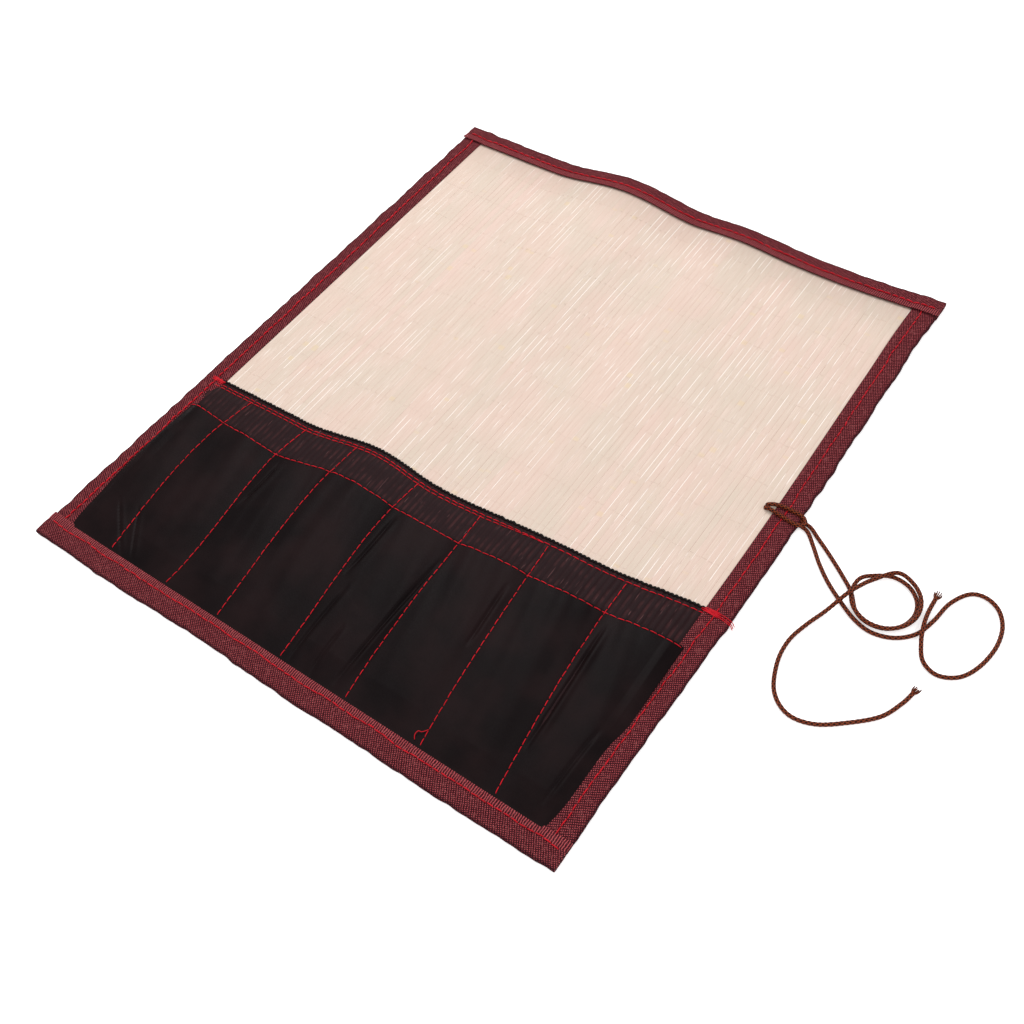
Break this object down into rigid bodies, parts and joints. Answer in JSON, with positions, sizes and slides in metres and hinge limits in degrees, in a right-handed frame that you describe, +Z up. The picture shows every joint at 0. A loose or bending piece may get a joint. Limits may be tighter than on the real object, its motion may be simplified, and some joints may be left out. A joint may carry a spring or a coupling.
{
  "type": "brush roll case",
  "caption": "Roll-up bamboo mat with folded tape edges, a row of stitched cloth pockets for brushes and a braided tie cord hitched to one edge.",
  "frame": {"origin": "centre of the cord-edge binding's underside, half way along it, on the table", "axes": "+X across the slats towards the cord, +Y along the slats to the back edge, away from the pockets, +Z up from the table"},
  "size_m": [0.4064, 0.36, 0.0069],
  "materials": {
    "bamboo": "pale bamboo, satin, with faint grain",
    "tape": "wine coloured twill tape, matte",
    "pocket_cloth": "black woven cloth with a slight sheen",
    "cord": "brown braided cord, slight sheen"
  },
  "bodies": {
    "panel_01": {"slats_01": "bamboo", "end_binding_01": "tape", "pocket_01": "pocket_cloth", "left_binding": "tape"},
    "panel_02": {"slats_02": "bamboo", "end_binding_02": "tape", "pocket_02": "pocket_cloth"},
    "panel_03": {"slats_03": "bamboo", "end_binding_03": "tape", "pocket_03": "pocket_cloth"},
    "panel_04": {"slats_04": "bamboo", "end_binding_04": "tape", "pocket_04": "pocket_cloth"},
    "panel_05": {"slats_05": "bamboo", "end_binding_05": "tape", "pocket_05": "pocket_cloth"},
    "panel_06": {"slats_06": "bamboo", "end_binding_06": "tape", "pocket_06": "pocket_cloth"},
    "panel_07": {"slats_07": "bamboo", "end_binding_07": "tape", "pocket_07": "pocket_cloth"},
    "panel_08": {"slats_08": "bamboo", "end_binding_08": "tape", "pocket_08": "pocket_cloth"},
    "panel_09": {"slats_09": "bamboo", "end_binding_09": "tape", "pocket_09": "pocket_cloth"},
    "panel_10": {"slats_10": "bamboo", "end_binding_10": "tape", "pocket_10": "pocket_cloth"},
    "panel_11": {"slats_11": "bamboo", "end_binding_11": "tape", "pocket_11": "pocket_cloth"},
    "panel_12": {"slats_12": "bamboo", "end_binding_12": "tape", "pocket_12": "pocket_cloth"},
    "panel_13": {"slats_13": "bamboo", "end_binding_13": "tape", "pocket_13": "pocket_cloth"},
    "panel_14": {"slats_14": "bamboo", "end_binding_14": "tape", "pocket_14": "pocket_cloth"},
    "panel_15": {"slats_15": "bamboo", "end_binding_15": "tape", "pocket_15": "pocket_cloth"},
    "panel_16": {"slats_16": "bamboo", "end_binding_16": "tape", "pocket_16": "pocket_cloth", "right_binding": "tape", "cord_hitch": "cord"},
    "cord": {"cord_coiled_tail": "cord", "cord_looped_tail": "cord"}
  },
  "joints": [
    {"name": "roll_15", "type": "hinge", "parent": "panel_16", "child": "panel_15", "pos_m": [-0.0137, 0, 0.0022], "axis": [0, 1, 0], "range_deg": [0, 29.71]},
    {"name": "roll_14", "type": "hinge", "parent": "panel_15", "child": "panel_14", "pos_m": [-0.0326, 0, 0.0022], "axis": [0, 1, 0], "range_deg": [0, 30.44]},
    {"name": "roll_13", "type": "hinge", "parent": "panel_14", "child": "panel_13", "pos_m": [-0.0515, 0, 0.0022], "axis": [0, 1, 0], "range_deg": [0, 31.21]},
    {"name": "roll_12", "type": "hinge", "parent": "panel_13", "child": "panel_12", "pos_m": [-0.0704, 0, 0.0022], "axis": [0, 1, 0], "range_deg": [0, 32.04]},
    {"name": "roll_11", "type": "hinge", "parent": "panel_12", "child": "panel_11", "pos_m": [-0.0893, 0, 0.0022], "axis": [0, 1, 0], "range_deg": [0, 32.95]},
    {"name": "roll_10", "type": "hinge", "parent": "panel_11", "child": "panel_10", "pos_m": [-0.1082, 0, 0.0022], "axis": [0, 1, 0], "range_deg": [0, 33.93]},
    {"name": "roll_09", "type": "hinge", "parent": "panel_10", "child": "panel_09", "pos_m": [-0.1271, 0, 0.0022], "axis": [0, 1, 0], "range_deg": [0, 35.01]},
    {"name": "roll_08", "type": "hinge", "parent": "panel_09", "child": "panel_08", "pos_m": [-0.146, 0, 0.0022], "axis": [0, 1, 0], "range_deg": [0, 36.21]},
    {"name": "roll_07", "type": "hinge", "parent": "panel_08", "child": "panel_07", "pos_m": [-0.1649, 0, 0.0022], "axis": [0, 1, 0], "range_deg": [0, 37.54]},
    {"name": "roll_06", "type": "hinge", "parent": "panel_07", "child": "panel_06", "pos_m": [-0.1838, 0, 0.0022], "axis": [0, 1, 0], "range_deg": [0, 39.04]},
    {"name": "roll_05", "type": "hinge", "parent": "panel_06", "child": "panel_05", "pos_m": [-0.2027, 0, 0.0022], "axis": [0, 1, 0], "range_deg": [0, 40.73]},
    {"name": "roll_04", "type": "hinge", "parent": "panel_05", "child": "panel_04", "pos_m": [-0.2216, 0, 0.0022], "axis": [0, 1, 0], "range_deg": [0, 42.67]},
    {"name": "roll_03", "type": "hinge", "parent": "panel_04", "child": "panel_03", "pos_m": [-0.2405, 0, 0.0022], "axis": [0, 1, 0], "range_deg": [0, 44.94]},
    {"name": "roll_02", "type": "hinge", "parent": "panel_03", "child": "panel_02", "pos_m": [-0.2594, 0, 0.0022], "axis": [0, 1, 0], "range_deg": [0, 47.63]},
    {"name": "roll_01", "type": "hinge", "parent": "panel_02", "child": "panel_01", "pos_m": [-0.2783, 0, 0.0022], "axis": [0, 1, 0], "range_deg": [0, 50.9]},
    {"name": "cord_swing", "type": "hinge", "parent": "panel_16", "child": "cord", "pos_m": [0.0126, 0.0165, 0.0011], "axis": [0, 0, 1], "range_deg": [-20, 60]}
  ],
  "couplings": [
    {"joint": "roll_01", "follows": "roll_15", "ratio": 1.7126},
    {"joint": "roll_02", "follows": "roll_15", "ratio": 1.6025},
    {"joint": "roll_03", "follows": "roll_15", "ratio": 1.5119},
    {"joint": "roll_04", "follows": "roll_15", "ratio": 1.4355},
    {"joint": "roll_05", "follows": "roll_15", "ratio": 1.3702},
    {"joint": "roll_06", "follows": "roll_15", "ratio": 1.3134},
    {"joint": "roll_07", "follows": "roll_15", "ratio": 1.2629},
    {"joint": "roll_08", "follows": "roll_15", "ratio": 1.2181},
    {"joint": "roll_09", "follows": "roll_15", "ratio": 1.1777},
    {"joint": "roll_10", "follows": "roll_15", "ratio": 1.1414},
    {"joint": "roll_11", "follows": "roll_15", "ratio": 1.1084},
    {"joint": "roll_12", "follows": "roll_15", "ratio": 1.0777},
    {"joint": "roll_13", "follows": "roll_15", "ratio": 1.0498},
    {"joint": "roll_14", "follows": "roll_15", "ratio": 1.0239}
  ]
}
